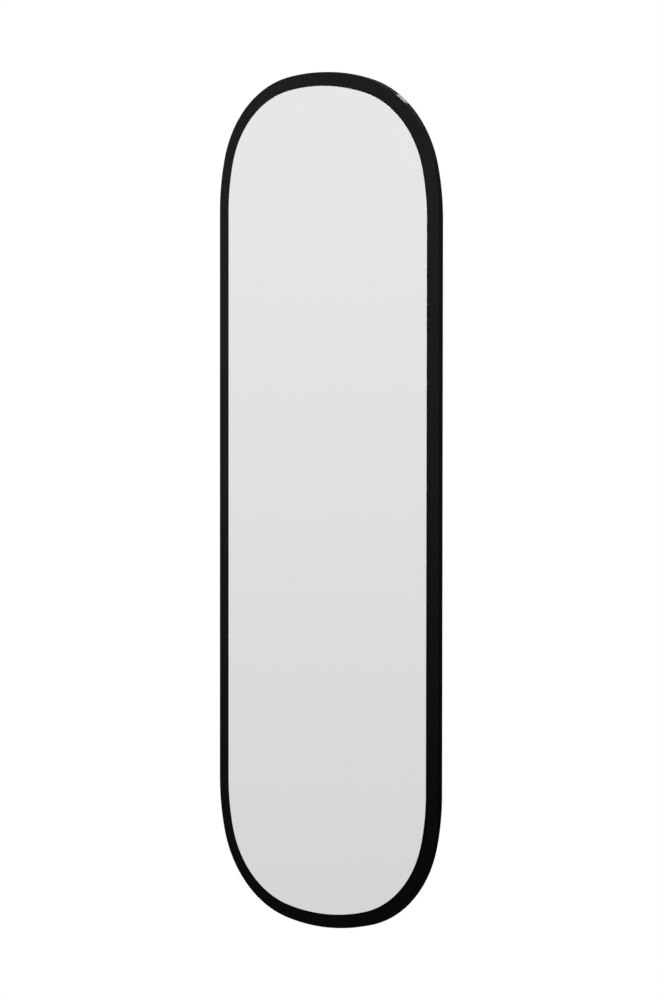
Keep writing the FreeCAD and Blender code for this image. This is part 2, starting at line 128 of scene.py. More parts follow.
# %% [markdown]
# ## Pieces of a finish that come up again and again
# Nearly every real surface is a little uneven: its colour drifts, its gloss drifts, and it has a
# fine relief. Painted image maps could carry that, but they would need unwrapping and would fix the
# detail to one resolution. Noise measured in metres on the object itself needs neither, so these
# helpers give noise, a blend of two colours and a relief, and one last helper closes the network
# with the surface shader. A Mix node has a set of sockets for each kind of data, so its colour
# sockets go by number.

# %% Helpers for finishes
COLOUR_A, COLOUR_B, COLOUR_MIXED = 6, 7, 2
OPAQUE = 1.0


def new_finish(name):
    """A material, its empty network, and the point being shaded, in metres in the shared frame."""
    material = bpy.data.materials.new(name)
    shading = Shading(material)
    return material, shading, shading.node("ShaderNodeTexCoord", output="Object")


def noise(place, grains_per_metre, detail):
    """Even noise. Each step of `detail` adds finer grains to the ones that were asked for."""
    sockets = {"Vector": place, "Scale": grains_per_metre, "Detail": detail}
    return place.shading.node("ShaderNodeTexNoise", {}, sockets)


def between(share, dark, pale):
    """A colour part of the way from the dark one to the pale one."""
    sockets = {"Factor": share, COLOUR_A: (*dark, OPAQUE), COLOUR_B: (*pale, OPAQUE)}
    return share.shading.node("ShaderNodeMix", {"data_type": "RGBA"}, sockets, output=COLOUR_MIXED)


def relief(height, depth):
    """Tilt the surface as if its height varied by `depth` metres."""
    return height.shading.node("ShaderNodeBump", {}, {"Height": height, "Distance": depth})


def surface(shading, **sockets):
    """Close the network: socket names are the surface shader's own, with _ for each space."""
    named = {name.replace("_", " "): value for name, value in sockets.items()}
    shader = shading.node("ShaderNodeBsdfPrincipled", {}, named)
    shading.node("ShaderNodeOutputMaterial", {}, {"Surface": shader})


print("Finish helpers are ready")

# %% [markdown]
# ## Black lacquer
# The face and the edge of the board are sprayed black and nearly matt: almost no colour, a mist of
# fine specks where the spray landed and, up close, faint dimples. A single black with one roughness
# looks like a hole in the picture. So colour and roughness drift over a hand's breadth, specks of
# half a millimetre vary the black, and dimples of about two millimetres tilt the surface slightly.
# A glossy base would veil the black with a grey haze wherever a lamp stands, so the base has next
# to no gloss. A thin coat over it has it all, and draws the sharp glint on the shoulder.

# %% The sprayed face
lacquer, shading, place = new_finish("black_lacquer")
drift = noise(place, grains_per_metre=7.0, detail=3.0)
dimples = noise(place, grains_per_metre=430.0, detail=1.0)
mist = noise(place, grains_per_metre=1800.0, detail=2.0)
surface(
    shading,
    Base_Color=between(0.3 * drift + 0.7 * mist,
                       dark=(0.0035, 0.0035, 0.0036), pale=(0.0175, 0.0175, 0.0177)),
    Roughness=0.40 + 0.08 * drift + 0.04 * mist,
    Specular_IOR_Level=0.001,
    Coat_Weight=0.026 + 0.008 * drift,
    Coat_Roughness=0.05,
    Normal=relief(dimples + 0.5 * mist, depth=0.00003),
)
print("Made", lacquer.name)

# %% [markdown]
# ## The back of the board
# Backs get one thin coat of paint from a roller and no more, so the wall side is more matt than the
# face. The roller leaves a stipple of about four millimetres, and the fibres of the pressed board
# show through the paint as a fine grain in its colour and its gloss. A painted texture could show
# the stipple, but it would stay flat. The same shader as before, with more relief and no coat,
# gives it depth. In the routed recesses there is no paint at all: the bare board is a warm brown
# felt of short fibres.

# %% The painted back
back_paint, shading, place = new_finish("back_paint")
drift = noise(place, grains_per_metre=9.0, detail=4.0)
stipple = noise(place, grains_per_metre=260.0, detail=2.0)
fibres = noise(place, grains_per_metre=1100.0, detail=3.0)
surface(
    shading,
    Base_Color=between(0.4 * drift + 0.6 * fibres,
                       dark=(0.003, 0.003, 0.0031), pale=(0.015, 0.015, 0.0152)),
    Roughness=0.62 + 0.16 * fibres,
    Specular_IOR_Level=0.25,
    Normal=relief(stipple + 0.3 * fibres, depth=0.0003),
)
print("Made", back_paint.name)

# %% Streaks, and the bare board
UNSCALED = 1.0


def stretched(place, per_metre):
    """The same point in units of its own along each axis, so that noise on it becomes streaks."""
    sockets = {0: place, 1: per_metre}
    return place.shading.node("ShaderNodeVectorMath", {"operation": "MULTIPLY"}, sockets)


def streaks(place, per_metre, detail):
    """Noise with as many grains in a metre along each axis as `per_metre` says."""
    return noise(stretched(place, per_metre), UNSCALED, detail)


bare_board, shading, place = new_finish("bare_fibreboard")
felt = streaks(place, per_metre=(900.0, 2500.0, 900.0), detail=4.0)
surface(
    shading,
    Base_Color=between(felt, dark=(0.16, 0.095, 0.050), pale=(0.40, 0.27, 0.155)),
    Roughness=0.85 + 0.1 * felt,
    Specular_IOR_Level=0.2,
    Normal=relief(felt, depth=0.00015),
)
print("Made", bare_board.name)

# %% [markdown]
# ## The outline
# Seen from the front, board and glass have straight sides and long rounded ends. Each end is five
# arcs that run into each other without a corner: a flat one as the side leaves the straight, a
# tight one at the shoulder, a flat one over the crown, and back down. A curve object could be bent
# to look like it, but would only come close. Here every point of the outline is kept as an arc
# centre, a radius and an angle. A parallel outline is then the same list with a smaller radius, and
# the rings for the border, the glass and the rounded edge match point by point. Width and height
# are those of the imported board. It is faceted, so its box falls a fraction of a millimetre short
# over the crowns, and rounding gives back the size that was meant.

# %% Sizes of the outline
FLAT_RADIUS = 0.4
FLAT_TURN = math.radians(13.5)


def whole_millimetres(length):
    """A length in metres, rounded to whole millimetres."""
    return round(length, 3)


board_low, board_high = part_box("back_panel")
board_width = whole_millimetres(board_high.x - board_low.x)
board_height = whole_millimetres(board_high.z - board_low.z)
board_thickness = whole_millimetres(board_high.y - board_low.y)
centre_z = whole_millimetres((board_low.z + board_high.z) / 2)

half_straight = (board_height - board_width) / 2
flat_x = board_width / 2 - FLAT_RADIUS
shoulder_gap = -flat_x / (math.cos(FLAT_TURN) - math.sin(FLAT_TURN))
shoulder_radius = FLAT_RADIUS - shoulder_gap
shoulder_x = flat_x + shoulder_gap * math.cos(FLAT_TURN)
shoulder_z = half_straight + shoulder_gap * math.sin(FLAT_TURN)
print(f"Board {board_width} x {board_height} m, shoulder radius {shoulder_radius:.4f} m")

# %% Points round the outline
SIDE_STEPS = 20
FLAT_STEPS = 20
SHOULDER_STEPS = 48
CROWN_STEPS = 40
END_STEPS = 2 * FLAT_STEPS + 2 * SHOULDER_STEPS + CROWN_STEPS


def outline_stations():
    """Arc centre (x, z), radius and angle of each point of the outline.

    The points run anticlockwise, from the foot of the straight side on the right.
    """
    right, top, left = 0.0, math.pi / 2, math.pi
    meetings = (right, right + FLAT_TURN, top - FLAT_TURN, top + FLAT_TURN, left - FLAT_TURN, left)
    arcs = (
        (flat_x, half_straight, FLAT_RADIUS, FLAT_STEPS),
        (shoulder_x, shoulder_z, shoulder_radius, SHOULDER_STEPS),
        (0.0, half_straight + flat_x, FLAT_RADIUS, CROWN_STEPS),
        (-shoulder_x, shoulder_z, shoulder_radius, SHOULDER_STEPS),
        (-flat_x, half_straight, FLAT_RADIUS, FLAT_STEPS),
    )
    found = []
    for way, turned in ((1, 0.0), (-1, math.pi)):
        for step in range(SIDE_STEPS):
            along = 2 * half_straight * step / SIDE_STEPS - half_straight
            found.append((way * flat_x, way * along, FLAT_RADIUS, turned))
        for (x, z, radius, steps), first, last in zip(arcs, meetings, meetings[1:]):
            for step in range(steps):
                angle = first + (last - first) * step / steps
                found.append((way * x, way * z, radius, turned + angle))
    return found


stations = outline_stations()
print(f"{len(stations)} points round the outline")

# %% [markdown]
# ## From outline to solid
# A thin slab with shaped edges could be an extruded face with a bevel modifier. Bevels slide along
# the many short edges of the ends, though, and the parallel outlines are known exactly, so the slab
# is built as rings instead: each ring is the outline at some inset and some depth, and neighbouring
# rings are joined by a band of quads. The outline is the same left and right, so a ring can be
# closed by rungs from one side to the other. A finished mesh is shaded smooth except where its
# faces meet at more than a slight angle.

# %% Rings, bands and rungs
def around(x, z, radius, angle, y):
    """The point at a radius and an angle around (x, z), in the upright plane at depth y."""
    return x + radius * math.cos(angle), y, z + radius * math.sin(angle)


def ring(mesh, inset, y):
    """The outline moved inwards by `inset`, at depth y."""
    return [mesh.verts.new(around(x, centre_z + z, radius - inset, angle, y))
            for x, z, radius, angle in stations]


def band(mesh, first, second, finish=0):
    """Join two rings or loops of the same length with quads."""
    count = len(first)
    for here in range(count):
        there = (here + 1) % count
        face = mesh.faces.new((first[here], first[there], second[there], second[here]))
        face.material_index = finish


def bands(mesh, loops, finish=0):
    """Join each loop to the next."""
    for first, second in zip(loops, loops[1:]):
        band(mesh, first, second, finish)


def rungs(mesh, closed_ring, finish=0):
    """Close a ring of the outline from side to side, from its lowest point to its highest.

    The point across from number n is number `mirrored` - n.
    """
    count = len(closed_ring)
    mirrored = SIDE_STEPS * 2 + END_STEPS
    lowest = mirrored + END_STEPS // 2
    for low in range(lowest, lowest + count // 2):
        high = low + 1
        numbers = (low, high, mirrored - high, mirrored - low)
        corners = [closed_ring[number % count] for number in numbers]
        face = mesh.faces.new(list(dict.fromkeys(corners)))
        face.material_index = finish


print("Ring helpers are ready")

# %% From mesh to piece
SHARP_FROM = math.radians(30)


def finished_piece(name, mesh, finishes, node):
    """Turn a closed mesh into a piece that stands for a CAD node and rides on the one body."""
    bmesh.ops.recalc_face_normals(mesh, faces=mesh.faces)
    for face in mesh.faces:
        face.smooth = True
    open_edges = sum(not edge.is_manifold for edge in mesh.edges)
    data = bpy.data.meshes.new(name)
    mesh.to_mesh(data)
    mesh.free()
    data.set_sharp_from_angle(angle=SHARP_FROM)
    for finish in finishes:
        data.materials.append(finish)
    piece = bpy.data.objects.new(name, data)
    bpy.context.scene.collection.objects.link(piece)
    normals = piece.modifiers.new("flat faces stay flat", "WEIGHTED_NORMAL")
    normals.keep_sharp = True
    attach(piece, "root")
    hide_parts(node)
    print(f"{name}: {len(data.polygons)} faces, {open_edges} open edges")


print(f"Edges of more than {math.degrees(SHARP_FROM):.0f} degrees stay crisp")

# %% [markdown]
# ## The board
# One board carries everything. Its front edge is rounded by a millimetre, which is what catches
# light all the way round, and its back edge is only broken with sandpaper. In the back lie two
# seats for the keyhole plates, with a deeper hollow behind each keyhole for the head of the wall
# screw and a small hole for each plate screw. The seats could be cut with booleans, which leave
# slivers along the cut. Here each seat is drawn as loops, the flat faces around the loops are
# filled with triangles, and the walls are bands between equal loops at two depths.

# %% From face to back
EDGE_RADIUS, EDGE_STEPS = 0.001, 6
BACK_BEVEL = 0.0006
FACE, BACK, BARE = range(3)

board = bmesh.new()
rings = []
for step in range(EDGE_STEPS + 1):
    tilt = math.pi / 2 * step / EDGE_STEPS
    rings.append(ring(board, EDGE_RADIUS * (1 - math.sin(tilt)),
                      EDGE_RADIUS * (1 - math.cos(tilt)) - board_thickness))
rings.append(ring(board, 0.0, -BACK_BEVEL))
rings.append(ring(board, BACK_BEVEL, 0.0))
rungs(board, rings[0], FACE)
bands(board, rings, FACE)
print(f"{len(rings)} rings from the face of the board to its back")

# %% Loops for the recesses
HALF_TURN_STEPS = 20


def slot_loop(mesh, x, low, high, radius, y):
    """An upright slot with round ends about (x, low) and (x, high), at depth y."""
    points = []
    for z, first in ((low, math.pi), (high, 0.0)):
        for step in range(HALF_TURN_STEPS + 1):
            angle = first + math.pi * step / HALF_TURN_STEPS
            points.append(around(x, z, radius, angle, y))
    return [mesh.verts.new(point) for point in points]


def round_loop(mesh, x, z, radius, y):
    """A circle about (x, z), at depth y."""
    angles = [math.pi * step / HALF_TURN_STEPS for step in range(2 * HALF_TURN_STEPS)]
    return [mesh.verts.new(around(x, z, radius, angle, y)) for angle in angles]


def fill_flat(mesh, loops, finish=0):
    """Fill the flat face inside the first loop and outside the others."""
    edges = []
    for loop in loops:
        for here, there in zip(loop, loop[1:] + loop[:1]):
            edges.append(mesh.edges.get((here, there)) or mesh.edges.new((here, there)))
    filled = bmesh.ops.triangle_fill(mesh, use_beauty=True, edges=edges)
    for item in filled["geom"]:
        if isinstance(item, bmesh.types.BMFace):
            item.material_index = finish


def pit(mesh, mouth, bottom, finish=0):
    """The walls of a hollow from its mouth to its bottom, and the bottom itself."""
    band(mesh, mouth, bottom, finish)
    fill_flat(mesh, [bottom], finish)


print(f"Loops turn in steps of {math.degrees(math.pi / HALF_TURN_STEPS):.0f} degrees")

# %% Recesses for the hangers
SEAT_CLEARANCE = 0.0002
HOLLOW_RISE, HOLLOW_RADIUS, HOLLOW_DEPTH = 0.012, 0.006, 0.008
PILOT_OFFSET, PILOT_RADIUS, PILOT_DEPTH = 0.023, 0.00185, 0.0101

plate_low, plate_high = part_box("hanger_plate_right")
hanger_x = (plate_low.x + plate_high.x) / 2
plate_rise = (plate_low.z + plate_high.z) / 2
plate_radius = (plate_high.x - plate_low.x) / 2
plate_reach = whole_millimetres((plate_high.z - plate_low.z) / 2 - plate_radius)
seat_radius = plate_radius + SEAT_CLEARANCE
seat_floor = plate_low.y

seat_mouths = []
for x in (-hanger_x, hanger_x):
    low, high = plate_rise - plate_reach, plate_rise + plate_reach
    mouth = slot_loop(board, x, low, high, seat_radius, 0.0)
    seat = slot_loop(board, x, low, high, seat_radius, seat_floor)
    band(board, mouth, seat, BARE)
    hollow = slot_loop(board, x, 0.0, HOLLOW_RISE, HOLLOW_RADIUS, seat_floor)
    pit(board, hollow, slot_loop(board, x, 0.0, HOLLOW_RISE, HOLLOW_RADIUS, -HOLLOW_DEPTH), BARE)
    pilots = []
    for z in (plate_rise - PILOT_OFFSET, plate_rise + PILOT_OFFSET):
        pilot = round_loop(board, x, z, PILOT_RADIUS, seat_floor)
        pit(board, pilot, round_loop(board, x, z, PILOT_RADIUS, -PILOT_DEPTH), BARE)
        pilots.append(pilot)
    fill_flat(board, [seat, hollow, *pilots], BARE)
    seat_mouths.append(mouth)
fill_flat(board, [rings[-1], *seat_mouths], BACK)

finished_piece("black_board", board, [lacquer, back_paint, bare_board],
               "back_panel")

# %% [markdown]
# ## Silvered glass
# A mirror is clear glass with silver behind it, so nearly all its light comes back from the silver
# and the glass only takes a little, slightly more from red and blue than from green. The sheet
# could be real glass with a metal layer behind, at the price of a noisy render. A metal surface
# with silver's brightness looks the same from everywhere except through the edge, so the front is a
# metal, and the edge gets finishes of its own: the bevels, which a wheel leaves matt and pale, and
# the edge between them, which looks dark and green into the depth of the sheet. The back has the
# paint that protects the silver.

# %% The silvered front
silver, shading, place = new_finish("silvered_glass")
wiping = streaks(place, per_metre=(9.0, 9.0, 3.0), detail=2.0)
surface(
    shading,
    Base_Color=between(wiping, dark=(0.866, 0.871, 0.868), pale=(0.872, 0.876, 0.873)),
    Roughness=0.006 + 0.006 * wiping,
    Metallic=1.0,
)
print("Made", silver.name)

# %% Bevels, edge and backing
ground_bevel, shading, place = new_finish("ground_bevel")
grit = noise(place, grains_per_metre=6000.0, detail=2.0)
surface(
    shading,
    Base_Color=between(grit, dark=(0.52, 0.56, 0.55), pale=(0.72, 0.76, 0.75)),
    Roughness=0.45 + 0.2 * grit,
    Normal=relief(grit, depth=0.00001),
)

green_edge, shading, place = new_finish("green_edge")
layers = streaks(place, per_metre=(60.0, 1200.0, 60.0), detail=3.0)
surface(
    shading,
    Base_Color=between(layers, dark=(0.004, 0.010, 0.008), pale=(0.012, 0.026, 0.021)),
    Roughness=0.12 + 0.1 * layers,
    Specular_IOR_Level=0.3,
)

backing_paint, shading, place = new_finish("mirror_backing_paint")
rolled = noise(place, grains_per_metre=700.0, detail=2.0)
surface(
    shading,
    Base_Color=between(rolled, dark=(0.13, 0.15, 0.16), pale=(0.18, 0.20, 0.21)),
    Roughness=0.5 + 0.1 * rolled,
    Normal=relief(rolled, depth=0.00003),
)
print("Made", ground_bevel.name, green_edge.name, "and", backing_paint.name)

# %% The sheet
ARRIS = 0.0004
SILVER, BEVEL, EDGE, BACKING = range(4)

glass_low, glass_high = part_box("mirror_glass")
border = glass_low.x - board_low.x
sheet = bmesh.new()
front_face = ring(sheet, border + ARRIS, glass_low.y)
front_corner = ring(sheet, border, glass_low.y + ARRIS)
back_corner = ring(sheet, border, glass_high.y - ARRIS)
back_face = ring(sheet, border + ARRIS, glass_high.y)
rungs(sheet, front_face, SILVER)
band(sheet, front_face, front_corner, BEVEL)
band(sheet, front_corner, back_corner, EDGE)
band(sheet, back_corner, back_face, BEVEL)
rungs(sheet, back_face, BACKING)

finished_piece("silvered_sheet", sheet, [silver, ground_bevel, green_edge, backing_paint],
               "mirror_glass")

# %% [markdown]
# ## The film
# On the back of the sheet is a plastic film that keeps the pieces together if the glass breaks. It
# is as flat as the glass, so the solid in the frame is right and only needs a finish. The fine
# threads in the film could be real strands, by the hundred. Two sets of soft bands, multiplied, are
# bright where they cross, and that is all that a thread inside plastic shows.

# %% The woven film
THREADS_PER_METRE = 320.0
WAVE_RADIANS = 20.0


def threads(place, across):
    """Soft bands along the axis `across`. At scale 1 the wave turns by WAVE_RADIANS in a metre."""
    sockets = {"Vector": place, "Scale": THREADS_PER_METRE * math.tau / WAVE_RADIANS}
    return place.shading.node("ShaderNodeTexWave", {"bands_direction": across}, sockets)


film, shading, place = new_finish("woven_film")
weave = threads(place, across="X") * threads(place, across="Z")
surface(
    shading,
    Base_Color=between(weave, dark=(0.30, 0.36, 0.40), pale=(0.52, 0.58, 0.62)),
    Roughness=0.38 + 0.2 * weave,
    Normal=relief(weave, depth=0.00003),
)
print("Made", film.name)

# %% [markdown]
# ## Tape and adhesive
# Four strips of foam tape hold the glass to the board from the first minute, and three beads of
# adhesive hold it for good. Both are soft and were pressed: the cut sides of the foam bulge a
# little, and the beads have spread to an uneven edge. A simulation could press them, but with less
# than a millimetre between film and board there is little to find out. So each is a stack of loops,
# drawn in at both faces and fullest halfway, and the edge of a bead wanders with a noise. Foam
# shows its cells where it is cut, and the adhesive cured with ripples.

# %% Foam and cured adhesive
CELLS_PER_METRE = 2200.0

foam, shading, place = new_finish("foam_tape")
cells = shading.node("ShaderNodeTexVoronoi", {}, {"Vector": place, "Scale": CELLS_PER_METRE})
surface(
    shading,
    Base_Color=between(cells, dark=(0.50, 0.50, 0.49), pale=(0.74, 0.74, 0.72)),
    Roughness=0.8 + 0.1 * cells,
    Normal=relief(cells, depth=0.0001),
)

adhesive, shading, place = new_finish("cured_adhesive")
ripples = streaks(place, per_metre=(120.0, 120.0, 500.0), detail=2.0)
surface(
    shading,
    Base_Color=between(ripples, dark=(0.36, 0.36, 0.35), pale=(0.46, 0.46, 0.45)),
    Roughness=0.35 + 0.15 * ripples,
    Normal=relief(ripples, depth=0.0001),
)
print("Made", foam.name, "and", adhesive.name)

# %% Points round a strip
CORNER_STEPS = 8


def strip_stations(low, high, corner, side_steps):
    """Arc centre (x, z) and angle of each point round an upright strip with round corners.

    The points run anticlockwise, from the foot of its right side.
    """
    right, left = high.x - corner, low.x + corner
    top, bottom = high.z - corner, low.z + corner
    sides = ((right, left, bottom, top, 0.0), (left, right, top, bottom, math.pi))
    found = []
    for x, next_x, start, end, first in sides:
        for step in range(1, side_steps):
            found.append((x, start + (end - start) * step / side_steps, first))
        for centre, turned in ((x, first), (next_x, first + math.pi / 2)):
            for step in range(CORNER_STEPS + 1):
                found.append((centre, end, turned + math.pi / 2 * step / CORNER_STEPS))
    return found


def stack(mesh, loops):
    """A closed solid of loops: flat at the first and the last one, with bands in between."""
    fill_flat(mesh, [loops[0]])
    bands(mesh, loops)
    fill_flat(mesh, [loops[-1]])


print(f"A strip has {4 * (CORNER_STEPS + 1)} points round its corners")

# %% Strips and beads
PRESS_STEPS = 6
PRESSED_IN = 0.0003
WAVES_PER_METRE = 25.0
TAPE_COUNT, TAPE_CORNER = 4, 0.0015
BEAD_COUNT, BEAD_CORNER, BEAD_STEPS, BEAD_UNEVEN = 3, 0.0055, 120, 0.002


def pressed_strip(name, node, finish, corner, side_steps=1, uneven=0.0):
    """A soft strip in the place of a CAD node.

    Halfway through, its edge lies up to `uneven` inside that of the node, and at both faces it is
    drawn in by PRESSED_IN more. The noise that moves the edge runs from -1 to 1.
    """
    low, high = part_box(node)
    strip = bmesh.new()
    loops = [[] for _ in range(PRESS_STEPS + 1)]
    for x, z, angle in strip_stations(low, high, corner, side_steps):
        spot = Vector((x * WAVES_PER_METRE, math.cos(angle), z * WAVES_PER_METRE))
        edge = corner - uneven * (1 + wandering(spot)) / 2
        for step, loop in enumerate(loops):
            through = step / PRESS_STEPS
            radius = edge - PRESSED_IN * (2 * through - 1) ** 2
            y = low.y + (high.y - low.y) * through
            loop.append(strip.verts.new(around(x, z, radius, angle, y)))
    stack(strip, loops)
    finished_piece(name, strip, [finish], node)


for number in range(1, TAPE_COUNT + 1):
    pressed_strip(f"foam_strip_{number}", f"mounting_tape_{number}", foam, TAPE_CORNER)
for number in range(1, BEAD_COUNT + 1):
    pressed_strip(f"pressed_bead_{number}", f"adhesive_bead_{number}", adhesive,
                  BEAD_CORNER, BEAD_STEPS, BEAD_UNEVEN)

# %% [markdown]
# ## Keyhole plates
# The mirror hangs by two stamped plates with keyholes. Plated steel is never one grey: the strip
# they were stamped from has rolling lines along its length, and the plating clouds over in places.
# A brushed metal could come from an anisotropic shader, but up close the lines themselves show, so
# they are streaks of noise along the plate, with clouds of even noise over them.

# %% The zinc of the plates
plate_zinc, shading, place = new_finish("zinc_plate")
rolling = streaks(place, per_metre=(1600.0, 1600.0, 30.0), detail=3.0)
clouds = noise(place, grains_per_metre=130.0, detail=3.0)
surface(
    shading,
    Base_Color=between(0.5 * clouds + 0.5 * rolling,
                       dark=(0.40, 0.41, 0.42), pale=(0.74, 0.75, 0.76)),
    Roughness=0.26 + 0.12 * rolling + 0.10 * clouds,
    Metallic=1.0,
    Normal=relief(rolling, depth=0.000012),
)
print("Made", plate_zinc.name)

# %% [markdown]
# ## Finishes for the solids that stay
# The film and the plates keep the solids of the frame, because these are already what they should
# look like. A second mesh over each would only repeat it. Each node brings one material slot with a
# plain colour, and the finish goes in there.

# %% Dress the solids
FINISH_BY_NODE = {
    "safety_film": film,
    "hanger_plate_left": plate_zinc,
    "hanger_plate_right": plate_zinc,
}
for name, finish in FINISH_BY_NODE.items():
    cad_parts[name].material_slots[0].material = finish
    print(f"{name}: {finish.name}")

# %% [markdown]
# ## Plate screws
# Each plate is held by two short wood screws with a cross recess. The head and the core are a stack
# of round loops again, and the recess is a cross that gets smaller towards its floor, so that a
# driver centres itself. A thread could be drawn with bump, but its outline would stay straight.
# Here it is a ridge with three corners that winds round the core and runs out at the neck and at
# the tip. The plating is warmer than that of the plates, and it was never rolled, so it has a fine
# sparkle and no lines. Screws stop at any angle, so each cross is turned a little further than the
# last.

# %% The zinc of the screws
screw_zinc, shading, place = new_finish("zinc_screw")
sparkle = noise(place, grains_per_metre=2400.0, detail=3.0)
clouds = noise(place, grains_per_metre=400.0, detail=2.0)
surface(
    shading,
    Base_Color=between(clouds, dark=(0.52, 0.50, 0.44), pale=(0.68, 0.66, 0.58)),
    Roughness=0.22 + 0.16 * sparkle,
    Metallic=1.0,
    Normal=relief(sparkle, depth=0.00001),
)
print("Made", screw_zinc.name)

# %% Head and core of a screw
RECESS_REACH, RECESS_HALF, RECESS_DEPTH, RECESS_TAPER = 0.00175, 0.0005, 0.0012, 0.55
RIM_BEVEL = 0.0001
SHANK_RADIUS, CORE_RADIUS, TIP_RADIUS = 0.00175, 0.0012, 0.0001
NECK_LENGTH, POINT_LENGTH = 0.0008, 0.0025

screws_low, screws_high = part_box("hanger_screws")
head_radius = screws_high.x - hanger_x
tip_y = screws_low.y
neck_y = SHANK_RADIUS - head_radius
thread_y = neck_y - NECK_LENGTH
point_y = tip_y + POINT_LENGTH


def cross_loop(mesh, x, z, size, turned, y):
    """A cross with four equal arms about (x, z), at some share of its full size."""
    reach, half = RECESS_REACH * size, RECESS_HALF * size
    points = []
    for quarter in range(4):
        angle = turned + math.pi / 2 * quarter
        for along, aside in ((reach, -half), (reach, half), (half, half)):
            points.append((x + along * math.cos(angle) - aside * math.sin(angle), y,
                           z + along * math.sin(angle) + aside * math.cos(angle)))
    return [mesh.verts.new(point) for point in points]


def head_and_core(mesh, x, z, turned):
    """The head with its cross recess, and the core from the neck to the tip."""
    recess = cross_loop(mesh, x, z, 1.0, turned, 0.0)
    pit(mesh, recess, cross_loop(mesh, x, z, RECESS_TAPER, turned, -RECESS_DEPTH))
    profile = (
        (head_radius - 2 * RIM_BEVEL, 0.0),
        (head_radius - RIM_BEVEL, -RIM_BEVEL),
        (SHANK_RADIUS, neck_y),
        (SHANK_RADIUS, thread_y),
        (CORE_RADIUS, thread_y + CORE_RADIUS - SHANK_RADIUS),
        (CORE_RADIUS, point_y),
        (TIP_RADIUS, tip_y),
    )
    loops = [round_loop(mesh, x, z, radius, y) for radius, y in profile]
    fill_flat(mesh, [loops[0], recess])
    bands(mesh, loops)
    fill_flat(mesh, [loops[-1]])


print(f"Screw heads are {2 * head_radius:.4f} m across")

# %% Threads, and the set of screws
THREAD_PITCH, THREAD_HALF, THREAD_SUNK = 0.0013, 0.0003, 0.0001
THREAD_STEPS, RUN_IN_STEPS = 130, 12
TURN_EACH = math.radians(37)


def thread_ridge(mesh, x, z):
    """Wind a ridge with three corners round the core, from the neck to the tip."""
    turns = []
    for step in range(THREAD_STEPS + 1):
        y = thread_y + (tip_y - thread_y) * step / THREAD_STEPS
        angle = math.tau * (thread_y - y) / THREAD_PITCH
        taper = min(1.0, (y - tip_y) / POINT_LENGTH)
        size = taper * min(1.0, (step + 1) / RUN_IN_STEPS) + 1 / THREAD_STEPS
        core = TIP_RADIUS + (CORE_RADIUS - TIP_RADIUS) * taper - THREAD_SUNK * size
        crest = core + (SHANK_RADIUS - CORE_RADIUS + THREAD_SUNK) * size
        corners = ((core, y - THREAD_HALF * size), (crest, y), (core, y + THREAD_HALF * size))
        turns.append([mesh.verts.new(around(x, z, radius, angle, corner_y))
                      for radius, corner_y in corners])
    mesh.faces.new(turns[0])
    bands(mesh, turns)
    mesh.faces.new(turns[-1])


screws = bmesh.new()
places = [(x, plate_rise + rise)
          for x in (-hanger_x, hanger_x) for rise in (-PILOT_OFFSET, PILOT_OFFSET)]
for number, (x, z) in enumerate(places):
    head_and_core(screws, x, z, TURN_EACH * number)
    thread_ridge(screws, x, z)
finished_piece("plate_screws", screws, [screw_zinc], "hanger_screws")

# %% [markdown]
# ## Rubber pads
# Four round pads on the back keep the board from knocking and scraping on the wall. They are
# pressed in a mould, so their free edge is round. A cylinder with a bevel modifier would do, but
# the loops of the recesses are at hand, and a pad is a stack of them: straight up from the board,
# round the edge, and flat where it meets the wall. Rubber is dark, matt and grainy, with a faint
# pale bloom in patches.

# %% The rubber
rubber, shading, place = new_finish("pad_rubber")
grain = noise(place, grains_per_metre=1900.0, detail=3.0)
bloom = noise(place, grains_per_metre=160.0, detail=2.0)
surface(
    shading,
    Base_Color=between(bloom, dark=(0.055, 0.055, 0.057), pale=(0.095, 0.095, 0.099)),
    Roughness=0.72 + 0.18 * grain,
    Specular_IOR_Level=0.35,
    Normal=relief(grain, depth=0.00006),
)
print("Made", rubber.name)

# %% The pads
PAD_COUNT = 4
PAD_ROUND, PAD_ROUND_STEPS = 0.0007, 6

for number in range(1, PAD_COUNT + 1):
    low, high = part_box(f"wall_pad_{number}")
    x, z, radius = (low.x + high.x) / 2, (low.z + high.z) / 2, (high.x - low.x) / 2
    pad = bmesh.new()
    loops = [round_loop(pad, x, z, radius, low.y)]
    for step in range(PAD_ROUND_STEPS + 1):
        tilt = math.pi / 2 * step / PAD_ROUND_STEPS
        loops.append(round_loop(pad, x, z, radius - PAD_ROUND * (1 - math.cos(tilt)),
                                high.y - PAD_ROUND * (1 - math.sin(tilt))))
    stack(pad, loops)
    finished_piece(f"rubber_pad_{number}", pad, [rubber], f"wall_pad_{number}")

# %% [markdown]
# ## The floor
# A mirror shows the room more than itself, so the room is part of its look. The picture has a white
# ground all round, and in the glass a pale grey that darkens gently towards the foot. A floor lit
# until it is white would flood the black board with light. This floor is lit no more than the
# mirror is, and adds a glow that only the camera sees: near the mirror the lit floor shows through
# the glow with its shadow, and further out the glow takes over and is plain white. Rays that come
# off glass or metal see a grey tone instead, and that tone is painted shade: it is dimmest close to
# the mirror, and every metre away from it makes up the same share of what is still missing. Behind
# the mirror it drops, as if that half of the studio were unlit, so that the sides of the board stay
# dark.

# %% The disc of the floor
FLOOR_Z, FLOOR_RADIUS, FLOOR_CORNERS = -1.55, 40.0, 128

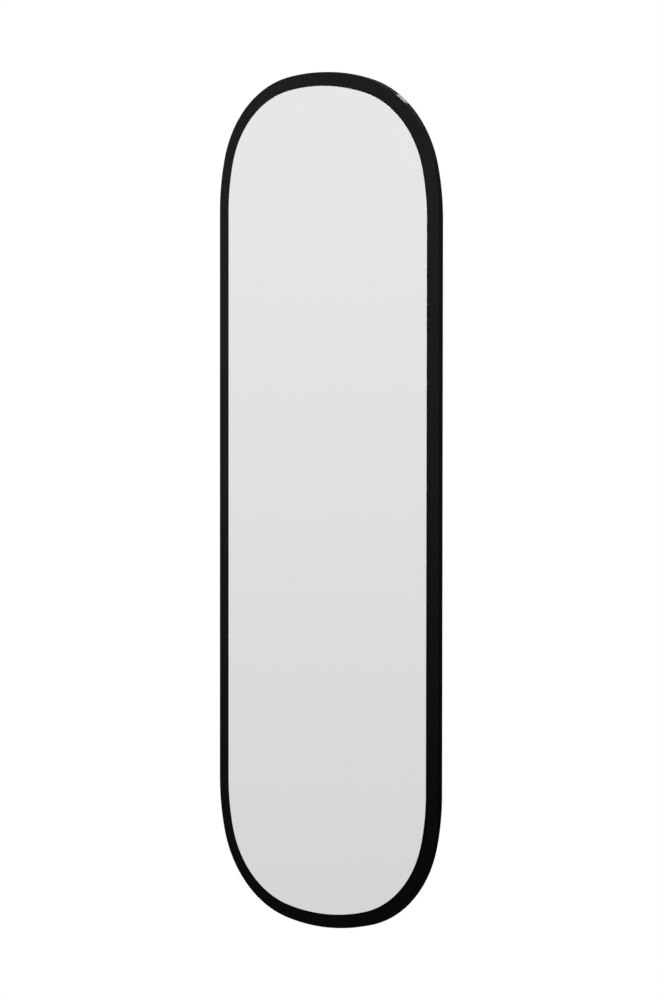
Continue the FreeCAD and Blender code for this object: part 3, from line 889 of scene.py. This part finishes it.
floor_mesh = bmesh.new()
bmesh.ops.create_circle(floor_mesh, cap_ends=True, radius=FLOOR_RADIUS, segments=FLOOR_CORNERS,
                        matrix=Matrix.Translation((0.0, 0.0, FLOOR_Z)))
floor_data = bpy.data.meshes.new("studio_floor")
floor_mesh.to_mesh(floor_data)
floor_mesh.free()
floor = bpy.data.objects.new("studio_floor", floor_data)
bpy.context.scene.collection.objects.link(floor)
print(f"Floor at z = {FLOOR_Z} m")

# %% Ramps and kinds of ray
def ramp(value, begin, end, first, last):
    """A smooth change from `first`, for values up to `begin`, to `last`, for those past `end`."""
    sockets = {"Value": value, "From Min": begin, "From Max": end, "To Min": first, "To Max": last}
    return value.shading.node("ShaderNodeMapRange", {"interpolation_type": "SMOOTHSTEP"}, sockets)


def ray_is(shading, kind):
    """1 for rays of this kind and 0 for all others."""
    return shading.node("ShaderNodeLightPath", output=f"Is {kind} Ray")


print("Floor helpers are ready")

# %% The paint of the floor
FLOOR_GREY = (0.25, 0.25, 0.25)
NEAR_GLOW = 0.83
WHITE_FROM, WHITE_AT = 0.7, 1.3
FAR_TONE, NEAR_PAINTED_SHADE, KEPT_PER_METRE = 0.92, 0.195, 0.931
UNLIT_FROM, UNLIT_AT, UNLIT_SHARE = 0.0, 0.8, 0.3
LEVEL = (1.0, 1.0, 0.0)

floor_paint, shading, place = new_finish("floor_paint")
distance = shading.node("ShaderNodeVectorMath", {"operation": "LENGTH"},
                        {0: stretched(place, LEVEL)}, output="Value")
behind = shading.node("ShaderNodeSeparateXYZ", {}, {"Vector": place}, output="Y")
by_camera = ray_is(shading, "Camera")
off_gloss = ray_is(shading, "Glossy") + ray_is(shading, "Transmission")
# The tone that glass and metal see is painted shade: darker close to the mirror and behind it.
tone = FAR_TONE - NEAR_PAINTED_SHADE * KEPT_PER_METRE ** distance
tone = tone * ramp(behind, UNLIT_FROM, UNLIT_AT, 1.0, UNLIT_SHARE)
lit = shading.node("ShaderNodeBsdfDiffuse", {}, {"Color": (*FLOOR_GREY, OPAQUE)})
glow = shading.node("ShaderNodeEmission", {}, {"Color": NEAR_GLOW * by_camera})
near = shading.node("ShaderNodeAddShader", {}, {0: lit, 1: glow})
white = shading.node("ShaderNodeEmission")
far = ramp(distance, WHITE_FROM, WHITE_AT, 0.0, 1.0) * by_camera
seen_directly = shading.node("ShaderNodeMixShader", {}, {0: far, 1: near, 2: white})
seen_in_gloss = shading.node("ShaderNodeEmission", {}, {"Color": tone})
seen = shading.node("ShaderNodeMixShader", {}, {0: off_gloss, 1: seen_directly, 2: seen_in_gloss})
shading.node("ShaderNodeOutputMaterial", {}, {"Surface": seen})
floor.data.materials.append(floor_paint)
print("Made", floor_paint.name)

# %% [markdown]
# ## The room
# Beyond the floor the world takes over. A photographed sky would put a window or a lamp in the
# glass, so it is made of plain tones. To the camera it is white. To glossy rays it carries on the
# floor's tone at the horizon, darkens overhead as a studio does, and is darker on the side behind
# the mirror. For all other rays it is a weak even light from everywhere, and the lamps do the rest.

# %% World
ROOM_LIGHT = 0.05
HORIZON_TONE, OVERHEAD_TONE = 0.915, 0.08
OVERHEAD_FROM, OVERHEAD_AT = 0.0, 0.2
BACKWARD_FROM, BACKWARD_AT = -0.1, 0.1

world = bpy.data.worlds.new("studio")
bpy.context.scene.world = world
shading = Shading(world)
direction = shading.node("ShaderNodeTexCoord", output="Generated")
upward = shading.node("ShaderNodeSeparateXYZ", {}, {"Vector": direction}, output="Z")
backward = shading.node("ShaderNodeSeparateXYZ", {}, {"Vector": direction}, output="Y")
tone = ramp(upward, OVERHEAD_FROM, OVERHEAD_AT, HORIZON_TONE, OVERHEAD_TONE)
tone = tone * ramp(backward, BACKWARD_FROM, BACKWARD_AT, 1.0, UNLIT_SHARE)
plain = ray_is(shading, "Camera") + ray_is(shading, "Transmission")
in_gloss = ray_is(shading, "Glossy")
brightness = plain + in_gloss * tone + (1 - plain - in_gloss) * ROOM_LIGHT
sky = shading.node("ShaderNodeBackground", {}, {"Color": brightness})
shading.node("ShaderNodeOutputWorld", {}, {"Surface": sky})
print("World", world.name)

# %% [markdown]
# ## The lamps
# Black shows every step of light. In the picture the border fades from dark grey at the crown to
# nearly black at the foot, and so does the right side of the board. A bare softbox lights the whole
# height alike. A grid in front of it narrows its beam, so the key softbox stands at the front
# right, higher than the top of the glass, where no view from above the floor can find it in the
# mirror, and is aimed high, so that its beam runs out towards the foot. A second softbox, above and
# behind, stands where the right shoulder throws it at the camera and draws the short glint there. A
# third lights the back. A large one overhead, just behind the board, rakes down the back and gives
# the floor its soft shadow. All are hidden from the camera itself, so no view from another side is
# blocked.

# %% Softboxes
def softbox(name, position, target, width, height, beam, watts):
    """An area lamp that shines along its axis within a full angle of `beam` degrees."""
    lamp = bpy.data.lights.new(name, "AREA")
    lamp.shape = "RECTANGLE"
    lamp.size, lamp.size_y = width, height
    lamp.spread = math.radians(beam)
    lamp.energy = watts
    aim = Vector(target) - Vector(position)
    stand = bpy.data.objects.new(name, lamp)
    stand.location = position
    stand.rotation_euler = aim.to_track_quat("-Z", "Y").to_euler()
    stand.visible_camera = False
    bpy.context.scene.collection.objects.link(stand)
    print(f"{name}: {watts} W at {position}, beam {beam} degrees")


softbox("key_softbox", position=(1.8, -3.0, 0.8), target=(-0.3, 0.0, -0.03),
        width=0.4, height=0.45, beam=39.0, watts=8.7)
softbox("rim_softbox", position=(-0.33, 2.29, 1.97), target=(0.17, 0.0, 0.17),
        width=0.5, height=0.25, beam=40.0, watts=1.6)
softbox("back_softbox", position=(-1.7, 2.6, -0.3), target=(0.0, 0.0, -0.5),
        width=0.8, height=0.8, beam=50.0, watts=6.0)
softbox("top_softbox", position=(0.0, 0.55, 1.8), target=(0.0, 0.55, 0.0),
        width=1.0, height=0.8, beam=180.0, watts=65.0)

# %% [markdown]
# ## The camera
# The picture was taken from far away with a long lens, from the right of the mirror and a little
# above its middle. A camera could be set by eye, but a fraction of a degree already shows along the
# black border. So the angles, the distance and the lens come from fitting the known outline to the
# edges in the picture. The long lens keeps the two sides of the mirror parallel, and no shift is
# needed because the view is centred on the mirror.

# %% Camera
AZIMUTH, ELEVATION, ROLL = math.radians(40.048), math.radians(4.239), math.radians(0.049)
DISTANCE, ASIDE, ABOVE = 17.5456, 0.00688, 0.00215
LENS, SENSOR = 361.25, 36.0

turn = (Matrix.Rotation(AZIMUTH, 3, "Z") @ Matrix.Rotation(math.pi / 2 - ELEVATION, 3, "X")
        @ Matrix.Rotation(ROLL, 3, "Z"))
middle = Vector((0.0, -board_thickness, centre_z))
camera = bpy.data.objects.new("camera", bpy.data.cameras.new("camera"))
camera.data.lens = LENS
camera.data.sensor_width = SENSOR
camera.rotation_euler = turn.to_euler()
camera.location = middle + turn @ Vector((ASIDE, ABOVE, DISTANCE))
bpy.context.scene.collection.objects.link(camera)
bpy.context.scene.camera = camera
bpy.context.scene.view_settings.view_transform = "Standard"
print(f"Camera at {tuple(camera.location)}")
